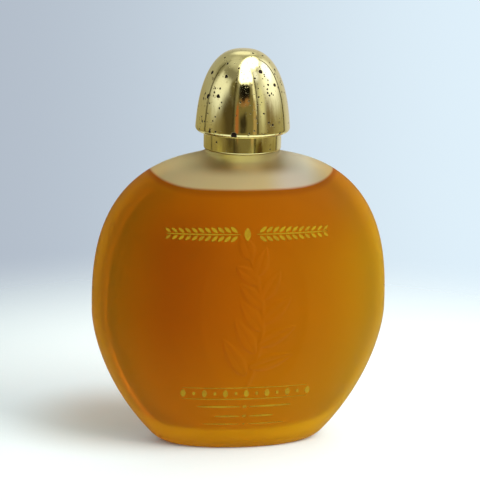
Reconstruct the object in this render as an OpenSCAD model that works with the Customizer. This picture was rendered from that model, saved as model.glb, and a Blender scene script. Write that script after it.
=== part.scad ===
// Oval glass aftershave flask with a domed metal screw cap.
// Millimetres. Origin at the centre of the foot, +Z up, front face towards -Y.

/* [Flask outside] */
// Width of the flask at its widest level
flask_w = 84; // [64:1:110]
// Thickness of the flask, front to back
flask_t = 35; // [30:0.5:50]
// Height of the widest level above the foot
belly_z = 39.4; // [36:0.1:48]
// Height of the shoulder's crown above the foot
crown_z = 84.9; // [80:0.1:100]
// Squareness of the outline above the widest level (2 is an ellipse)
upper_square = 2.63; // [2.3:0.01:3]
// Squareness of the outline below the widest level
lower_square = 1.67; // [1.55:0.01:2.1]
// How far below the foot the lower outline would close
foot_overrun = 11.7; // [8:0.1:16]
// Height of the rounding round the foot
foot_round_h = 2.6; // [1.5:0.1:5]
// How far the foot's rounding draws the outline in
foot_round_w = 2.6; // [1.5:0.1:5]

/* [Glass] */
// Thickness of the glass at the belly
wall = 2.9; // [2:0.1:4]
// Thickness of the glass under the crown
crown_wall = 3.7; // [2.5:0.1:5]
// Thickness of the glass at the foot
base_wall = 6; // [4:0.1:9]
// Height of the rounding inside the foot
floor_round_h = 5; // [3:0.1:7]
// How far the inside rounding draws the cavity in
floor_round_w = 8; // [4:0.1:10]
// Diameter of the bore through the neck
bore_d = 10; // [8.4:0.1:11]
// Height of the funnel from the cavity up into the bore
funnel_h = 3; // [2:0.1:5]

/* [Neck finish] */
// How far the neck's root stands in from the collar
root_inset = 0.4; // [0.2:0.1:0.8]
// Radius of the sweep from the neck's root into the shoulder
neck_sweep_r = 24; // [20:1:40]
// Height of the collar's seat above the crown
seat_rise = 0.5; // [0.2:0.1:1]
// Diameter over the thread of the neck
thread_d = 17.8; // [17.4:0.1:18]
// Height of the neck above the crown
neck_h = 15; // [14:0.1:16]
// How far the bead that the collar's sleeve snaps over stands out of the neck
bead_edge = 0.4; // [0.2:0.1:0.6]
// Height of the bead
bead_h = 1; // [0.8:0.1:1.4]
// Height of the bead's lower edge above the collar's seat
bead_rise = 2.7; // [2:0.1:3.2]
// Chamfer on the lip of the neck
lip_chamfer = 0.6; // [0.3:0.1:1]

/* [Lotion] */
// Height of the lotion's surface above the foot
fill_z = 74; // [55:0.1:76]
// Gap between the lotion and the glass
film = 0.03; // [0.02:0.01:0.1]

/* [Pour plug] */
// How far the plug's flange stands in from the edge of the neck
plug_inset = 1.5; // [1:0.1:2.4]
// Thickness of the plug's flange
plug_flange_h = 0.9; // [0.7:0.1:1.2]
// Length of the plug's stem in the bore
plug_stem_h = 7; // [5:0.1:10]
// Thickness of the plug's stem and floor
plug_wall = 1; // [0.7:0.1:1.3]
// Depth of the plug's pouring cup
plug_cup_depth = 2; // [1:0.1:3]
// Diameter of the plug's orifice
orifice_d = 4.8; // [3:0.1:5]
// Number of grip rings round the stem
plug_rings = 3; // [2:1:4]
// Clearance between the grip rings and the bore
plug_fit = 0.02; // [0.01:0.01:0.05]
// How far the grip rings stand out of the stem
plug_ring_rise = 0.15; // [0.1:0.05:0.25]

/* [Collar] */
// Thickness of the plastic sleeve between the neck and the collar's metal
sleeve_t = 1.39; // [1.2:0.01:2]
// Height of the metal collar
collar_h = 6.2; // [5.6:0.1:6.6]
// Thickness of the collar's metal
collar_skin_t = 0.45; // [0.3:0.05:0.6]
// Radius of the collar's lower and upper corners
collar_corner_r = 0.5; // [0.3:0.05:0.8]
// Clearance between the collar, its sleeve and the neck
collar_fit = 0.03; // [0.02:0.01:0.1]

/* [Cap shell] */
// How far the cap's widest level stands out past the collar
cap_overhang = 2.35; // [2.2:0.05:4]
// Height of the cap from rim to dome
cap_h = 22.9; // [21:0.1:28]
// Height of the cap's rim above the collar's seat
cap_rise = 4.85; // [4:0.05:5.3]
// Radius of the rounded rim
rim_r = 1.3; // [1:0.1:1.4]
// How much the radius shrinks for each millimetre of height
cap_draft = 0.079; // [0.02:0.001:0.1]
// Squareness of the dome's outline
dome_square = 2.56; // [2.2:0.01:3]
// Thickness of the cap's metal
cap_wall = 0.8; // [0.5:0.1:1]
// Height of the inward hem behind the rim
hem_h = 2.2; // [1.6:0.1:2.4]

/* [Cap insert] */
// Running clearance between the insert's thread and the neck's thread
thread_fit = 0.1; // [0.05:0.01:0.2]
// Thickness of the insert's tube
insert_wall = 1.2; // [0.9:0.1:1.3]
// Gap between the collar and the insert's lower end
insert_gap = 0.5; // [0.4:0.1:1]
// Thickness of the insert's roof
roof_h = 1.2; // [0.8:0.1:1.6]
// Number of fins that hold the shell
fin_count = 12; // [6:2:16]
// Thickness of a fin
fin_t = 0.9; // [0.6:0.1:1.2]
// Thickness of the insert's lower flange
insert_flange_h = 1; // [0.7:0.1:1.4]
// Clearance between the insert and the shell
insert_fit = 0.03; // [0.02:0.01:0.1]

/* [Cap liner] */
// Thickness of the sealing liner
liner_h = 1.2; // [0.8:0.1:1.6]
// Clearance between the liner's edge and the insert
liner_fit = 0.2; // [0.1:0.05:0.4]

/* [Hidden] */

round_steps = 96;
quarter = 90;
upper_steps = 16;
lower_steps = 11;
foot_steps = 4;
sweep_steps = 5;
sweep_angle = 20;
corner_steps = 4;
dome_steps = 18;
cut_over = 1;

half_w = flask_w / 2;
half_t = flask_t / 2;
cavity_w = half_w - wall;
cavity_t = half_t - wall;
cavity_crown = crown_z - crown_wall;
cavity_overrun = foot_overrun - wall;
bore_r = bore_d / 2;

seat_z = crown_z + seat_rise;
lip_z = crown_z + neck_h;
neck_r = thread_d / 2;
bead_r = neck_r + bead_edge;
bead_z = seat_z + bead_rise;

plug_ring_r = bore_r - plug_fit;
plug_stem_r = plug_ring_r - plug_ring_rise;
plug_top_z = lip_z + plug_flange_h;

collar_top_z = seat_z + collar_h;
sleeve_bore_r = neck_r + collar_fit;
sleeve_r = sleeve_bore_r + sleeve_t;
collar_r = sleeve_r + collar_fit + collar_skin_t;
root_r = collar_r - root_inset;

rim_z = seat_z + cap_rise;
cap_r = collar_r + cap_overhang;
dome_z = rim_z + rim_r;
dome_rise = cap_h - rim_r;
insert_bore_r = neck_r + thread_fit;
insert_r = insert_bore_r + insert_wall;
insert_foot_z = collar_top_z + insert_gap;
roof_z = plug_top_z + liner_h;
hem_top_z = rim_z + hem_h;
hem_r = cap_r - rim_r - cap_wall / 2;

// Half-width of an outline above the belly, for a form w wide that closes at height top.
function upper_half(a, w) = w * pow(cos(a), 2 / upper_square);
function upper_level(a, top) = belly_z + (top - belly_z) * pow(sin(a), 2 / upper_square);

// Half-width of an outline below the belly, for a form w wide that would close at height -overrun.
function lower_half(z, w, overrun) =
    w * pow(1 - pow((belly_z - z) / (belly_z + overrun), lower_square), 1 / lower_square);

// Right half of the flask's outline, from its crown down to a floor with a rounded edge.
function flask_outline(w, top, floor_z, overrun, round_h, round_w) = concat(
    [for (i = [0:upper_steps]) let (a = 90 * (1 - i / upper_steps))
        [upper_half(a, w), upper_level(a, top)]],
    [for (i = [1:lower_steps]) let (z = belly_z + (floor_z + round_h - belly_z) * i / lower_steps)
        [lower_half(z, w, overrun), z]],
    [for (i = [1:foot_steps]) let (a = 90 * (1 - i / foot_steps), z = floor_z + round_h * (1 - cos(a)))
        [lower_half(z, w, overrun) - round_w * (1 - sin(a)), z]],
    [[0, floor_z]]
);

// Radius of the cap's dome at a height above the rounded rim, for a dome r wide that closes at rise.
function dome_radius(h, r, rise) =
    (r - cap_draft * h) * pow(1 - pow(h / rise, dome_square), 1 / dome_square);
function dome_points(r, rise, base_z) =
    [for (i = [0:dome_steps]) let (h = rise * sin(90 * i / dome_steps)) [dome_radius(h, r, rise), base_z + h]];

// Quarter round between two angles about a centre.
function arc_points(centre, r, from, to, steps) =
    [for (i = [0:steps]) let (a = from + (to - from) * i / steps) centre + r * [cos(a), sin(a)]];

// Oval solid: an outline turned in four quarters and squeezed front to back.
module oval_form(w, t, points) {
    scale([1, t / w, 1])
        for (turn = [0:quarter:270])
            rotate([0, 0, turn])
                rotate_extrude(angle = quarter, $fn = round_steps)
                    polygon(points);
}

module flask_body() {
    oval_form(half_w, half_t,
        flask_outline(half_w, crown_z, 0, foot_overrun, foot_round_h, foot_round_w));
}

// Turned neck: sweep into the shoulder, seat for the collar, snap bead and thread land.
module neck_form() {
    sweep = [for (i = [0:sweep_steps]) let (a = sweep_angle * (1 - i / sweep_steps))
        [root_r + neck_sweep_r * (1 - cos(a)), seat_z - neck_sweep_r * sin(a)]];
    rotate_extrude($fn = round_steps)
        polygon(concat(
            [[0, sweep[0][1]]],
            sweep,
            [
                [neck_r, seat_z],
                [neck_r, bead_z],
                [bead_r, bead_z],
                [bead_r, bead_z + bead_h - bead_edge],
                [neck_r, bead_z + bead_h],
                [neck_r, lip_z - lip_chamfer],
                [neck_r - lip_chamfer, lip_z],
                [0, lip_z],
            ]));
}

module cavity_form(gap) {
    oval_form(cavity_w - gap, cavity_t - gap,
        flask_outline(cavity_w - gap, cavity_crown - gap, base_wall + gap, cavity_overrun - gap,
            floor_round_h, floor_round_w));
}

module glass_flask() {
    color([0.86, 0.80, 0.66, 0.5])
        difference() {
            union() {
                flask_body();
                neck_form();
            }
            cavity_form(0);
            translate([0, 0, cavity_crown - cut_over])
                cylinder(h = lip_z - cavity_crown + 2 * cut_over, r = bore_r, $fn = round_steps);
            translate([0, 0, cavity_crown - cut_over])
                cylinder(h = funnel_h, r1 = bore_r + funnel_h, r2 = bore_r, $fn = round_steps);
        }
}

module lotion() {
    color([0.72, 0.45, 0.05])
        intersection() {
            cavity_form(film);
            translate([-half_w, -half_t, 0])
                cube([flask_w, flask_t, fill_z]);
        }
}

// Soft plug: flange on the lip, hollow stem with grip rings, pouring cup with an orifice.
module pour_plug() {
    floor_z = plug_top_z - plug_cup_depth - plug_wall;
    ring_pitch = plug_stem_h / (plug_rings + 1);
    color([0.93, 0.92, 0.88])
        difference() {
            union() {
                translate([0, 0, lip_z])
                    cylinder(h = plug_flange_h, r = neck_r - plug_inset, $fn = round_steps);
                translate([0, 0, lip_z - plug_stem_h])
                    cylinder(h = plug_stem_h, r = plug_stem_r, $fn = round_steps);
                for (i = [1:plug_rings])
                    translate([0, 0, lip_z - i * ring_pitch])
                        cylinder(h = ring_pitch / 2, r1 = plug_stem_r, r2 = plug_ring_r, $fn = round_steps);
            }
            translate([0, 0, plug_top_z - plug_cup_depth])
                cylinder(h = plug_cup_depth + cut_over, r = plug_stem_r - plug_wall, $fn = round_steps);
            translate([0, 0, lip_z - plug_stem_h - cut_over])
                cylinder(h = floor_z - lip_z + plug_stem_h + cut_over, r = plug_stem_r - plug_wall,
                    $fn = round_steps);
            translate([0, 0, floor_z - cut_over])
                cylinder(h = plug_wall + 2 * cut_over, d = orifice_d, $fn = round_steps);
        }
}

// Drawn metal ring, turned in under the sleeve and over its top.
module collar_skin() {
    low = [collar_r - collar_corner_r, seat_z + collar_corner_r];
    high = [collar_r - collar_corner_r, collar_top_z - collar_corner_r];
    turn_r = bead_r + collar_fit;
    inner_r = collar_r - collar_skin_t;
    color([0.80, 0.72, 0.42])
        rotate_extrude($fn = round_steps)
            polygon(concat(
                [[turn_r, seat_z]],
                arc_points(low, collar_corner_r, -90, 0, corner_steps),
                arc_points(high, collar_corner_r, 0, 90, corner_steps),
                [
                    [turn_r, collar_top_z],
                    [turn_r, collar_top_z - collar_skin_t],
                    [inner_r, collar_top_z - collar_skin_t],
                    [inner_r, seat_z + collar_skin_t],
                    [turn_r, seat_z + collar_skin_t],
                ]));
}

// Plastic ring that snaps over the neck's bead and carries the metal skin.
module collar_sleeve() {
    foot_z = seat_z + collar_skin_t;
    top_z = collar_top_z - collar_skin_t;
    groove_r = bead_r + collar_fit;
    color([0.85, 0.83, 0.78])
        rotate_extrude($fn = round_steps)
            polygon([
                [sleeve_bore_r, foot_z],
                [sleeve_r, foot_z],
                [sleeve_r, top_z],
                [sleeve_bore_r, top_z],
                [sleeve_bore_r, bead_z + bead_h + collar_fit],
                [groove_r, bead_z + bead_h - bead_edge + collar_fit],
                [groove_r, bead_z - collar_fit],
                [sleeve_bore_r, bead_z - collar_fit],
            ]);
}

// Right half of the space inside the shell: its mouth within the hem, then the dome, drawn in by a gap.
function shell_space(gap) = let (r = cap_r - cap_wall - gap, rise = dome_rise - cap_wall - gap) concat(
    [
        [0, rim_z - cut_over],
        [hem_r - gap, rim_z - cut_over],
        [hem_r - gap, hem_top_z + gap],
        [dome_radius(hem_top_z + gap - dome_z, r, rise), hem_top_z + gap],
    ],
    [for (p = dome_points(r, rise, dome_z)) if (p[1] > hem_top_z + gap) p]
);

// Domed metal shell with a rounded rim and an inward hem behind it.
module cap_shell() {
    color([0.82, 0.74, 0.44])
        rotate_extrude($fn = round_steps)
            difference() {
                polygon(concat(
                    [[0, rim_z]],
                    arc_points([cap_r - rim_r, dome_z], rim_r, -90, 0, corner_steps),
                    dome_points(cap_r, dome_rise, dome_z)));
                polygon(shell_space(0));
            }
}

// Threaded closure: tube, roof and lower flange, with fins that fill the shell.
module cap_insert() {
    fin_top = dome_z + dome_rise;
    color([0.90, 0.88, 0.82])
        difference() {
            intersection() {
                rotate_extrude($fn = round_steps)
                    polygon(shell_space(insert_fit));
                union() {
                    translate([0, 0, insert_foot_z])
                        cylinder(h = roof_z + roof_h - insert_foot_z, r = insert_r, $fn = round_steps);
                    translate([0, 0, hem_top_z])
                        cylinder(h = insert_flange_h, r = cap_r, $fn = round_steps);
                    for (i = [0:fin_count - 1])
                        rotate([0, 0, i * 360 / fin_count])
                            translate([insert_r / 2, -fin_t / 2, hem_top_z])
                                cube([cap_r, fin_t, fin_top - hem_top_z]);
                }
            }
            translate([0, 0, insert_foot_z - cut_over])
                cylinder(h = roof_z - insert_foot_z + cut_over, r = insert_bore_r, $fn = round_steps);
        }
}

module cap_liner() {
    color([0.96, 0.95, 0.92])
        translate([0, 0, plug_top_z])
            cylinder(h = liner_h, r = insert_bore_r - liner_fit, $fn = round_steps);
}

glass_flask();
lotion();
pour_plug();
collar_skin();
collar_sleeve();
cap_shell();
cap_insert();
cap_liner();
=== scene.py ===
"""Oval frosted glass aftershave flask with a domed gold screw cap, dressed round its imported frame."""

import logging
import math
from dataclasses import dataclass
from enum import Enum
from typing import Callable, Iterable, Sequence

import bmesh
import bpy
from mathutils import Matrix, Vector


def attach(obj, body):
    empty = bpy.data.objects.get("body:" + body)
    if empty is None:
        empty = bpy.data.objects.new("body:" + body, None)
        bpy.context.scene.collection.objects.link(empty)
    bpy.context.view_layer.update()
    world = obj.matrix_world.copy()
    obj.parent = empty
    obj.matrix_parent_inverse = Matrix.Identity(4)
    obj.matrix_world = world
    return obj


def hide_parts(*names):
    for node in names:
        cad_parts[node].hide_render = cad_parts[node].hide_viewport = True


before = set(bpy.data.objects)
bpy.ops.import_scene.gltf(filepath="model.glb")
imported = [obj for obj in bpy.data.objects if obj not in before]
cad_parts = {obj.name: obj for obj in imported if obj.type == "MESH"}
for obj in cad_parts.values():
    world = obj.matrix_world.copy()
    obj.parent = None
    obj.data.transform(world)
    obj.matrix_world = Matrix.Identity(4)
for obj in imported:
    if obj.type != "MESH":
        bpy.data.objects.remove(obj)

MM = 0.001
FULL_TURN = 2 * math.pi
LOG = logging.getLogger("aftershave_flask")

Point = tuple[float, float]
Spot = tuple[float, float, float]
Colour = tuple[float, float, float, float]
Piece = bpy.types.Object
Material = bpy.types.Material
Node = bpy.types.Node
Socket = bpy.types.NodeSocket
Value = float | Socket


class Body(Enum):
    """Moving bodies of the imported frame."""

    BOTTLE = "bottle"
    LINER = "liner"
    CAP = "cap"


class Slot(Enum):
    """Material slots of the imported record."""

    GLASS = "frosted_glass"
    LOTION = "lotion"
    GOLD = "gold_metal"
    PLUG = "plug_plastic"
    INSERT = "insert_plastic"
    LINER = "liner_foam"


# ---------------------------------------------------------------- mesh steps


class Bench:
    """Edit-mode steps that more than one piece is made with."""

    @staticmethod
    def clear() -> None:
        """Leaves edit mode with nothing selected."""
        if bpy.context.object and bpy.context.object.mode != "OBJECT":
            bpy.ops.object.mode_set(mode="OBJECT")
        bpy.ops.object.select_all(action="DESELECT")

    @staticmethod
    def take(piece: Piece) -> None:
        """Makes a piece the only selected and active one.

        Args:
            piece: The piece to work on.
        """
        Bench.clear()
        piece.select_set(True)
        bpy.context.view_layer.objects.active = piece

    @staticmethod
    def open() -> None:
        """Opens the active piece in edit mode with everything selected."""
        bpy.ops.object.mode_set(mode="EDIT")
        bpy.ops.mesh.select_all(action="SELECT")

    @staticmethod
    def chain(name: str, points: Sequence[Point]) -> Piece:
        """Extrudes a chain of points in the XZ plane from one vertex.

        Args:
            name: Name of the new piece.
            points: Radius and height of each point, in millimetres.

        Returns:
            The piece, left in edit mode.
        """
        Bench.clear()
        bpy.ops.mesh.primitive_plane_add(size=MM, location=(0, 0, 0))
        piece = bpy.context.object
        piece.name = piece.data.name = name
        bpy.ops.object.mode_set(mode="EDIT")
        bpy.ops.mesh.select_mode(type="VERT")
        bpy.ops.mesh.select_all(action="SELECT")
        bpy.ops.mesh.merge(type="CENTER")
        last = (0.0, 0.0)
        for n, point in enumerate(points):
            step = ((point[0] - last[0]) * MM, 0, (point[1] - last[1]) * MM)
            if n == 0:
                bpy.ops.transform.translate(value=step)
            else:
                bpy.ops.mesh.extrude_vertices_move(TRANSFORM_OT_translate={"value": step})
            last = point
        return piece

    @staticmethod
    def turn(name: str, points: Sequence[Point], steps: int) -> Piece:
        """Spins a profile once round the Z axis into a skin.

        Args:
            name: Name of the new piece.
            points: Radius and height of each point, in millimetres.
            steps: Number of segments round the axis.

        Returns:
            The piece, left in edit mode with everything selected.
        """
        piece = Bench.chain(name, points)
        bpy.ops.mesh.select_all(action="SELECT")
        bpy.ops.mesh.spin(steps=steps, angle=FULL_TURN, center=(0, 0, 0), axis=(0, 0, 1))
        bpy.ops.mesh.select_all(action="SELECT")
        bpy.ops.mesh.remove_doubles(threshold=0.002 * MM)
        bpy.ops.mesh.normals_make_consistent(inside=False)
        return piece

    @staticmethod
    def select_faces(piece: Piece, test: Callable[[Vector], bool]) -> None:
        """Selects the faces whose middle passes a test.

        Args:
            piece: The piece in edit mode.
            test: Says whether a place in metres is wanted.
        """
        bpy.ops.mesh.select_mode(type="FACE")
        bpy.ops.mesh.select_all(action="DESELECT")
        mesh = bmesh.from_edit_mesh(piece.data)
        for face in mesh.faces:
            face.select = test(face.calc_center_median())
        mesh.select_flush_mode()
        bmesh.update_edit_mesh(piece.data)

    @staticmethod
    def raise_ring(piece: Piece, rings: Iterable[Point], start: Point) -> None:
        """Extrudes the selected ring of edges through rings of given radius and height.

        Args:
            piece: The piece in edit mode, with one round ring of edges selected.
            rings: Radius and height of each new ring, in millimetres.
            start: Radius and height of the selected ring.
        """
        radius, level = start
        for new_radius, new_level in rings:
            rise = (0, 0, (new_level - level) * MM)
            bpy.ops.mesh.extrude_region_move(TRANSFORM_OT_translate={"value": rise})
            if new_radius != radius:
                grow = new_radius / radius
                bpy.ops.transform.resize(value=(grow, grow, 1), center_override=(0, 0, 0))
            radius, level = new_radius, new_level

    @staticmethod
    def smooth(piece: Piece, angle: float = 40) -> None:
        """Shades a piece smooth, but for edges sharper than an angle in degrees."""
        Bench.take(piece)
        bpy.ops.object.shade_smooth_by_angle(angle=math.radians(angle))

    @staticmethod
    def apply(piece: Piece, kind: str, **settings: object) -> None:
        """Adds one modifier to a piece, sets it and applies it.

        Args:
            piece: The piece to change.
            kind: Type of the modifier.
            settings: Its settings by name.
        """
        Bench.take(piece)
        modifier = piece.modifiers.new(kind.lower(), kind)
        for key, setting in settings.items():
            setattr(modifier, key, setting)
        bpy.ops.object.modifier_apply(modifier=modifier.name)

    @staticmethod
    def join(pieces: Sequence[Piece]) -> Piece:
        """Joins pieces into the first of them and returns it.

        Args:
            pieces: The pieces; the first one takes in the rest.

        Returns:
            The first piece, with all of them in it.
        """
        Bench.take(pieces[0])
        for piece in pieces[1:]:
            piece.select_set(True)
        bpy.ops.object.join()
        return pieces[0]


def place(piece: Piece, body: Body, slot: Slot, *nodes: str) -> None:
    """Gives a piece its body and hides the frame nodes that it stands for.

    Args:
        piece: The finished piece.
        body: The body that it moves with.
        slot: Not used.
        nodes: Frame nodes that it replaces.
    """
    Bench.clear()
    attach(piece, body.value)
    if nodes:
        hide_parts(*nodes)
    LOG.info("%s rides on %s with %d faces", piece.name, body.value, len(piece.data.polygons))


def arc(centre: Point, radius: float, start: float, end: float, steps: int) -> list[Point]:
    """Points of an arc.

    Args:
        centre: Centre of the arc.
        radius: Its radius.
        start: Angle of its first point, in degrees.
        end: Angle of its last point, in degrees.
        steps: Number of parts that it is cut into.

    Returns:
        The points, both ends among them.
    """
    angles = [math.radians(start + (end - start) * n / steps) for n in range(steps + 1)]
    return [(centre[0] + radius * math.cos(a), centre[1] + radius * math.sin(a)) for a in angles]


# ---------------------------------------------------------------- node wiring


class Graph:
    """Short hand for wiring one node tree."""

    def __init__(self, tree: bpy.types.NodeTree) -> None:
        """Starts on an empty tree."""
        self.tree = tree
        tree.nodes.clear()

    def node(self, kind: str, inputs: dict[str | int, object] | None = None, **settings: object) -> Node:
        """Adds a node.

        Args:
            kind: Its type, without the ShaderNode prefix unless it holds one.
            inputs: Values or sockets for its inputs, by name or index.
            settings: Its own settings.

        Returns:
            The new node.
        """
        made = self.tree.nodes.new(kind if kind.startswith("Node") else "ShaderNode" + kind)
        for key, setting in settings.items():
            setattr(made, key, setting)
        for key, given in (inputs or {}).items():
            if isinstance(given, Socket):
                self.link(given, made.inputs[key])
            else:
                made.inputs[key].default_value = given
        return made

    def link(self, source: Socket, target: Socket) -> None:
        """Wires one socket to another."""
        self.tree.links.new(source, target)

    def math(self, operation: str, a: Value, b: Value = 0.0, clamp: bool = False) -> Socket:
        """Adds a math node and returns its value."""
        return self.node("Math", {0: a, 1: b}, operation=operation, use_clamp=clamp).outputs[0]

    def total(self, *values: Value) -> Socket:
        """Adds values up.

        Args:
            values: Numbers or sockets.

        Returns:
            Their sum.
        """
        result = values[0]
        for value in values[1:]:
            result = self.math("ADD", result, value)
        return result

    def product(self, *values: Value) -> Socket:
        """Multiplies values.

        Args:
            values: Numbers or sockets.

        Returns:
            Their product.
        """
        result = values[0]
        for value in values[1:]:
            result = self.math("MULTIPLY", result, value)
        return result

    def ease(self, value: Value, low: float, high: float, start: float = 0.0, end: float = 1.0) -> Socket:
        """Maps a value smoothly from the span low to high onto start to end."""
        spans = {"Value": value, "From Min": low, "From Max": high, "To Min": start, "To Max": end}
        return self.node("MapRange", spans, interpolation_type="SMOOTHSTEP").outputs[0]

    def mix(self, share: Value, first: object, second: object) -> Socket:
        """Mixes two colours and returns the result."""
        return self.node("Mix", {0: share, 6: first, 7: second}, data_type="RGBA").outputs[2]

    def noise(self, vector: Socket, scale: Value, detail: float = 3.0, rough: float = 0.55) -> Socket:
        """Adds a noise texture and returns its value."""
        inputs = {"Vector": vector, "Scale": scale, "Detail": detail, "Roughness": rough}
        return self.node("TexNoise", inputs).outputs[0]

    def bump(self, height: Socket, depth: float) -> Socket:
        """Turns a height into a normal; depth is in metres."""
        return self.node("Bump", {"Height": height, "Distance": depth}).outputs[0]

    def group(self, group: bpy.types.NodeTree, inputs: dict[str, object]) -> Node:
        """Places a node group with its own values."""
        return self.node("Group", inputs, node_tree=group)

    def less(self, a: Value, b: Value) -> Socket:
        """Takes one value from another."""
        return self.math("SUBTRACT", a, b)

    def size(self, value: Value) -> Socket:
        """Value without its sign."""
        return self.math("ABSOLUTE", value)

    def axes(self, place: Socket) -> Sequence[Socket]:
        """X, Y and Z of a place or direction."""
        return self.node("SeparateXYZ", {0: place}).outputs

    def off_axis(self, place: Socket) -> Socket:
        """Distance of a place from the Z axis.

        Args:
            place: A vector socket.

        Returns:
            The distance, in the same unit.
        """
        x, y, _ = self.axes(place)
        flat = self.node("CombineXYZ", {0: x, 1: y}).outputs[0]
        return self.node("VectorMath", {0: flat}, operation="LENGTH").outputs["Value"]

    def distance(self, place: Socket, spot: Spot) -> Socket:
        """Distance of a place from a fixed spot."""
        return self.node("VectorMath", {0: place, 1: spot}, operation="DISTANCE").outputs["Value"]

    def wobbled(self, place: Socket, scale: float, reach: float) -> Socket:
        """Moves a place about by a fine noise.

        Args:
            place: The place.
            scale: Scale of the noise.
            reach: How far the place may move, in metres.

        Returns:
            The moved place.
        """
        wobble = self.node("TexNoise", {"Vector": place, "Scale": scale, "Detail": 2.0}).outputs[1]
        shift = self.node("VectorMath", {0: wobble, 3: reach}, operation="SCALE").outputs[0]
        return self.node("VectorMath", {0: place, 1: shift}, operation="ADD").outputs[0]

    def here(self) -> Socket:
        """Place on the piece itself, in metres."""
        return self.node("TexCoord").outputs["Object"]


class Effects:
    """Node groups that several finishes share, each built once."""

    def __init__(self) -> None:
        """Builds every group."""
        self.drift = self.build_drift()
        self.pits = self.build_pits()
        self.grain = self.build_grain()

    @staticmethod
    def open(name: str, takes: dict[str, str], gives: dict[str, str]) -> tuple[Graph, Node, Node]:
        """Starts a group.

        Args:
            name: Name of the group.
            takes: Type of each input by name.
            gives: Type of each output by name.

        Returns:
            The group's graph, its input node and its output node.
        """
        tree = bpy.data.node_groups.new(name, "ShaderNodeTree")
        graph = Graph(tree)
        for key, kind in takes.items():
            tree.interface.new_socket(key, in_out="INPUT", socket_type="NodeSocket" + kind)
        for key, kind in gives.items():
            tree.interface.new_socket(key, in_out="OUTPUT", socket_type="NodeSocket" + kind)
        return graph, graph.node("NodeGroupInput"), graph.node("NodeGroupOutput")

    def build_drift(self) -> bpy.types.NodeTree:
        """Slow, broken drift of a value over a surface: handling marks, thin haze, uneven dye.

        Returns:
            The node group, which gives a soft and a broken value.
        """
        graph, given, result = self.open(
            "slow_drift", {"Vector": "Vector", "Scale": "Float"}, {"Soft": "Float", "Broken": "Float"})
        place, scale = given.outputs["Vector"], given.outputs["Scale"]
        broad = graph.noise(place, scale, 2.0, 0.5)
        fine = graph.noise(place, graph.product(scale, 4.7), 5.0, 0.6)
        graph.link(graph.ease(broad, 0.3, 0.7), result.inputs["Soft"])
        graph.link(graph.ease(graph.product(broad, fine, 4.0), 0.6, 1.5), result.inputs["Broken"])
        return graph.tree

    def build_pits(self) -> bpy.types.NodeTree:
        """Scattered round spots of random size, some cells left bare.

        Returns:
            The node group, which gives the spots and a halo round them.
        """
        graph, given, result = self.open(
            "scattered_pits", {"Vector": "Vector", "Scale": "Float", "Cover": "Float", "Size": "Float"},
            {"Mask": "Float", "Halo": "Float"})
        at = graph.wobbled(given.outputs["Vector"], 900.0, 0.6 * MM)
        cells = graph.node("TexVoronoi", {"Vector": at, "Scale": given.outputs["Scale"], "Randomness": 1.0})
        draw = graph.node("SeparateColor", {0: cells.outputs["Color"]})
        kept = graph.math("LESS_THAN", draw.outputs[0], given.outputs["Cover"])
        size = graph.product(given.outputs["Size"], graph.ease(draw.outputs[1], 0.0, 1.0, 0.35, 1.0))
        near = graph.math("DIVIDE", cells.outputs["Distance"], size)
        graph.link(graph.product(kept, graph.ease(near, 1.0, 0.75)), result.inputs["Mask"])
        graph.link(graph.product(kept, graph.ease(near, 2.2, 0.9)), result.inputs["Halo"])
        return graph.tree

    def build_grain(self) -> bpy.types.NodeTree:
        """Fine even grain for etched glass and moulded plastic.

        Returns:
            The node group, which gives the height of the grain.
        """
        graph, given, result = self.open(
            "fine_grain", {"Vector": "Vector", "Scale": "Float"}, {"Height": "Float"})
        graph.link(graph.noise(given.outputs["Vector"], given.outputs["Scale"], 4.0, 0.7), result.inputs["Height"])
        return graph.tree


@dataclass(frozen=True)
class Finish:
    """A named finish that dresses pieces."""

    name: str

    def build(self, effects: Effects) -> Material:
        """Builds the material.

        Args:
            effects: The shared node groups.

        Returns:
            The material.
        """
        material = bpy.data.materials.new(self.name)
        material.use_nodes = True
        graph = Graph(material.node_tree)
        output = graph.node("OutputMaterial")
        shader = graph.node("BsdfPrincipled", self.surface(graph, effects))
        graph.link(shader.outputs[0], output.inputs["Surface"])
        self.fill(graph, output)
        return material

    def surface(self, graph: Graph, effects: Effects) -> dict[str, object]:
        """Inputs of the shader by name, as every finish gives them from its graph and the shared groups."""
        raise NotImplementedError

    def fill(self, graph: Graph, output: Node) -> None:
        """Wires what fills the piece; most finishes leave it empty."""


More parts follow.
